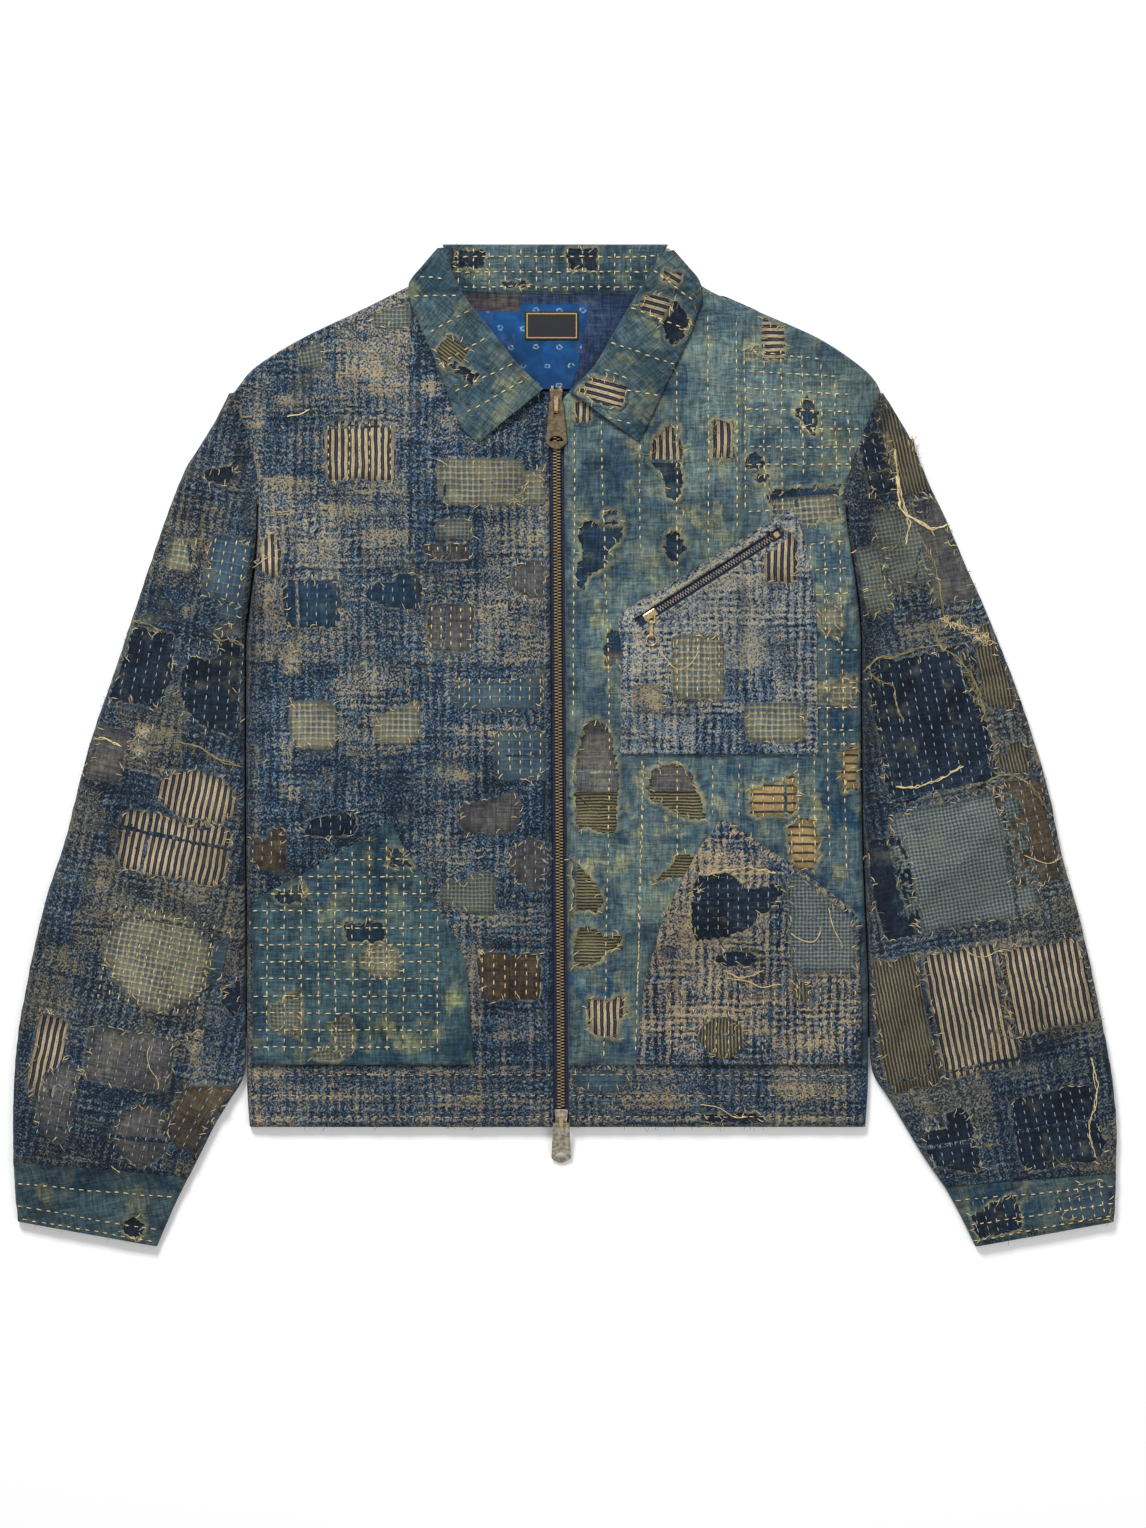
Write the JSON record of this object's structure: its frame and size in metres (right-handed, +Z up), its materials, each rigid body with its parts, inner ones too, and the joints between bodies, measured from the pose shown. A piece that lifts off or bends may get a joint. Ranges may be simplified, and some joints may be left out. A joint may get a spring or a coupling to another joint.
{
  "type": "patched boro jacket",
  "caption": "Zipped patchwork jacket of quilted indigo cotton, laid flat on its back, with a turned-down collar, patch pockets and swinging metal zip pulls",
  "frame": {"origin": "middle of the footprint, on the surface the jacket lies on", "axes": "+X across the jacket towards the wearer's left, +Y from hem to collar, +Z up from the surface"},
  "size_m": [0.8816, 0.8013, 0.0144],
  "materials": {
    "indigo_cloth": "matt slub cotton, worn pale, hand stitched",
    "teal_cloth": "matt faded cotton, hand stitched",
    "lining": "plain printed cotton",
    "label": "blank woven label",
    "zip_tape": "woven navy tape",
    "brass": "aged brass",
    "antique_metal": "dark antique plating, brushed"
  },
  "bodies": {
    "jacket": {"back": "indigo_cloth", "front_right": "indigo_cloth", "sleeve_right": "indigo_cloth", "sleeve_left": "indigo_cloth", "hem_band_right": "indigo_cloth", "hem_band_left": "indigo_cloth", "hem_band_back": "indigo_cloth", "lower_pocket_left": "indigo_cloth", "chest_pocket": "indigo_cloth", "front_left": "teal_cloth", "cuff_right": "teal_cloth", "cuff_left": "teal_cloth", "collar_back": "teal_cloth", "collar_leaf_right": "teal_cloth", "collar_leaf_left": "teal_cloth", "lower_pocket_right": "teal_cloth", "lining_back": "lining", "neck_label": "label", "zip_tape_right": "zip_tape", "zip_tape_left": "zip_tape", "pocket_zip_tape": "zip_tape", "zip_chain": "brass", "top_bail": "brass", "bottom_bail": "brass", "pocket_zip_chain": "brass", "pocket_slider": "brass", "pocket_bail": "brass", "top_slider": "antique_metal", "bottom_slider": "antique_metal"},
    "top_tab": {"top_tab": "antique_metal"},
    "bottom_tab": {"bottom_tab": "antique_metal"},
    "pocket_link": {"pocket_link": "brass"},
    "pocket_ring": {"pocket_ring": "brass"}
  },
  "joints": [
    {"name": "top_tab_hinge", "type": "hinge", "parent": "jacket", "child": "top_tab", "pos_m": [-0.00695, 0.2733, 0.0101], "axis": [-1, 0, 0], "range_deg": [0, 165]},
    {"name": "bottom_tab_hinge", "type": "hinge", "parent": "jacket", "child": "bottom_tab", "pos_m": [-0.00302, -0.3023, 0.0101], "axis": [-1, 0, 0], "range_deg": [0, 175]},
    {"name": "pocket_link_hinge", "type": "hinge", "parent": "jacket", "child": "pocket_link", "pos_m": [0.0688, 0.0976, 0.0125], "axis": [-1, 0, 0], "range_deg": [0, 140]},
    {"name": "pocket_ring_hinge", "type": "hinge", "parent": "pocket_link", "child": "pocket_ring", "pos_m": [0.0688, 0.0876, 0.0125], "axis": [-1, 0, 0], "range_deg": [0, 110]}
  ]
}
